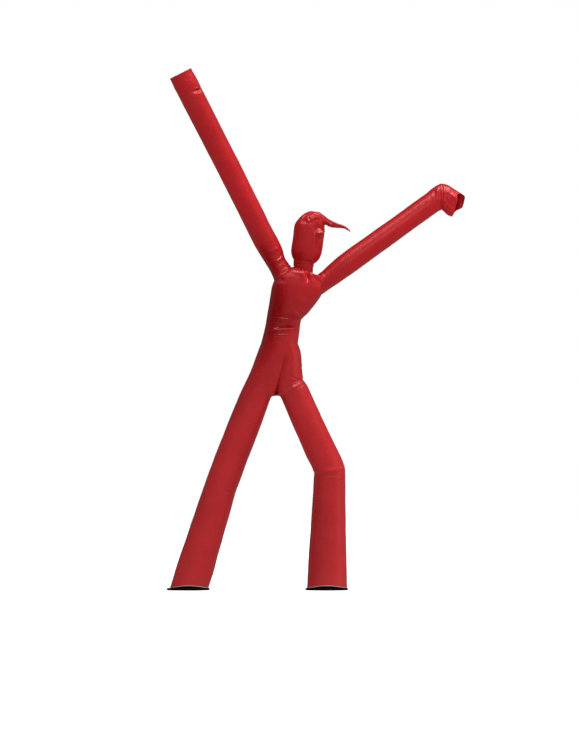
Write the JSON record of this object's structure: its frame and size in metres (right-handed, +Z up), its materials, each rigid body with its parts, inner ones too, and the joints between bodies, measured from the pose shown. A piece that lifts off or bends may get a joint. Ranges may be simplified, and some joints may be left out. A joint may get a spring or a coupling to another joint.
{
  "type": "inflatable air dancer on two base rings",
  "caption": "Inflatable air dancer of sewn red cloth tubes with raised arms, standing on two black base rings.",
  "frame": {"origin": "on the ground, at the middle of the figure's whole width and depth", "axes": "+Z up, the figure faces -Y, its steeply raised arm is on the -X side"},
  "size_m": [3.4919, 0.5234, 6.108],
  "materials": {
    "nylon": "satin",
    "base_ring": "matte",
    "hem_tape": "matte"
  },
  "bodies": {
    "root": {"base_ring_left": "base_ring", "base_ring_right": "base_ring", "hem_tape_left": "hem_tape", "hem_tape_right": "hem_tape", "shin_left": "nylon", "shin_right": "nylon", "thigh_left": "nylon", "thigh_right": "nylon", "pelvis_left": "nylon", "pelvis_right": "nylon", "chest": "nylon", "arm_left": "nylon", "arm_right": "nylon", "hand_left": "nylon", "hand_right": "nylon", "neck": "nylon", "head": "nylon", "hair": "nylon"}
  },
  "joints": []
}
